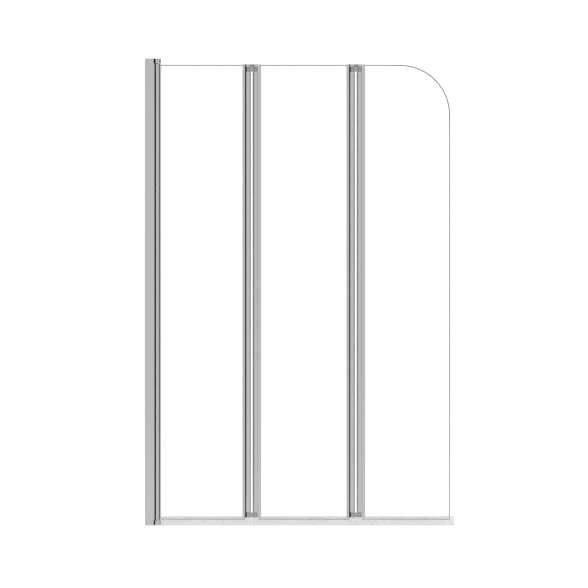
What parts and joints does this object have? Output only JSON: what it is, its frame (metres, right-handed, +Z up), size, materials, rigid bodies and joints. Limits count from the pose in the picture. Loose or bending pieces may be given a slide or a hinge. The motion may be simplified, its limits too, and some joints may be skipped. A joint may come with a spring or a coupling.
{
  "type": "folding bath screen",
  "caption": "Folding bath screen: clear glass panels with double-pivot joints fold like a concertina against a wall post; clear seal along the foot.",
  "frame": {"origin": "foot of the wall channel's back face, on its centre line, where the wall meets the bath rim", "axes": "+X runs out from the wall along the unfolded screen, +Y is the bath side, +Z is up"},
  "size_m": [0.9269, 0.0253, 1.4015],
  "materials": {
    "satin_aluminium": "polished satin anodised, drawn along its length",
    "satin_zinc": "satin silver die casting",
    "stainless_steel": "plain turned",
    "white_nylon": "natural white",
    "glazing_rubber": "matt grey",
    "black_rubber": "matt black",
    "clear_glass": "clear toughened, edges ground and polished",
    "clear_pvc": "clear, slightly milky",
    "silver_plastic": "silver"
  },
  "bodies": {
    "wall_side": {"wall_channel": "satin_aluminium", "post_profile": "satin_aluminium", "post_top_cover": "silver_plastic", "post_wipers": "black_rubber", "post_side_screws": "stainless_steel", "side_screw_covers": "silver_plastic", "top_pivot_block": "satin_zinc", "bottom_pivot_block": "satin_zinc", "pivot_block_screws": "stainless_steel", "top_wall_pin": "stainless_steel", "bottom_wall_pin": "stainless_steel"},
    "panel_1": {"hinge_bar": "satin_aluminium", "hinge_bar_bushes": "white_nylon", "hinge_bar_gasket": "glazing_rubber", "hinge_bar_beads": "black_rubber", "glass_1": "clear_glass", "bottom_seal_1": "clear_pvc", "joint_1_left_tube": "satin_aluminium", "joint_1_left_bushes": "white_nylon", "joint_1_left_pins": "stainless_steel", "joint_1_left_cap": "satin_zinc", "joint_1_left_gasket": "glazing_rubber", "joint_1_beads": "black_rubber"},
    "link_1": {"joint_1_top_link": "satin_zinc", "joint_1_bottom_link": "satin_zinc"},
    "panel_2": {"joint_1_right_tube": "satin_aluminium", "joint_1_right_bushes": "white_nylon", "joint_1_right_pins": "stainless_steel", "joint_1_right_cap": "satin_zinc", "joint_1_right_gasket": "glazing_rubber", "glass_2": "clear_glass", "bottom_seal_2": "clear_pvc", "joint_2_left_tube": "satin_aluminium", "joint_2_left_bushes": "white_nylon", "joint_2_left_pins": "stainless_steel", "joint_2_left_cap": "satin_zinc", "joint_2_left_gasket": "glazing_rubber", "joint_2_beads": "black_rubber"},
    "link_2": {"joint_2_top_link": "satin_zinc", "joint_2_bottom_link": "satin_zinc"},
    "panel_3": {"joint_2_right_tube": "satin_aluminium", "joint_2_right_bushes": "white_nylon", "joint_2_right_pins": "stainless_steel", "joint_2_right_cap": "satin_zinc", "joint_2_right_gasket": "glazing_rubber", "glass_3": "clear_glass", "bottom_seal_3": "clear_pvc"}
  },
  "joints": [
    {"name": "wall_hinge", "type": "hinge", "parent": "wall_side", "child": "panel_1", "pos_m": [0.037, 0, 0], "axis": [0, 0, 1], "range_deg": [0, 90]},
    {"name": "joint_1_left_pivot", "type": "hinge", "parent": "panel_1", "child": "link_1", "pos_m": [0.3089, 0, 0], "axis": [0, 0, -1], "range_deg": [0, 90]},
    {"name": "joint_1_right_pivot", "type": "hinge", "parent": "link_1", "child": "panel_2", "pos_m": [0.332, 0, 0], "axis": [0, 0, -1], "range_deg": [0, 90]},
    {"name": "joint_2_left_pivot", "type": "hinge", "parent": "panel_2", "child": "link_2", "pos_m": [0.6213, 0, 0], "axis": [0, 0, 1], "range_deg": [0, 90]},
    {"name": "joint_2_right_pivot", "type": "hinge", "parent": "link_2", "child": "panel_3", "pos_m": [0.6444, 0, 0], "axis": [0, 0, 1], "range_deg": [0, 90]}
  ]
}
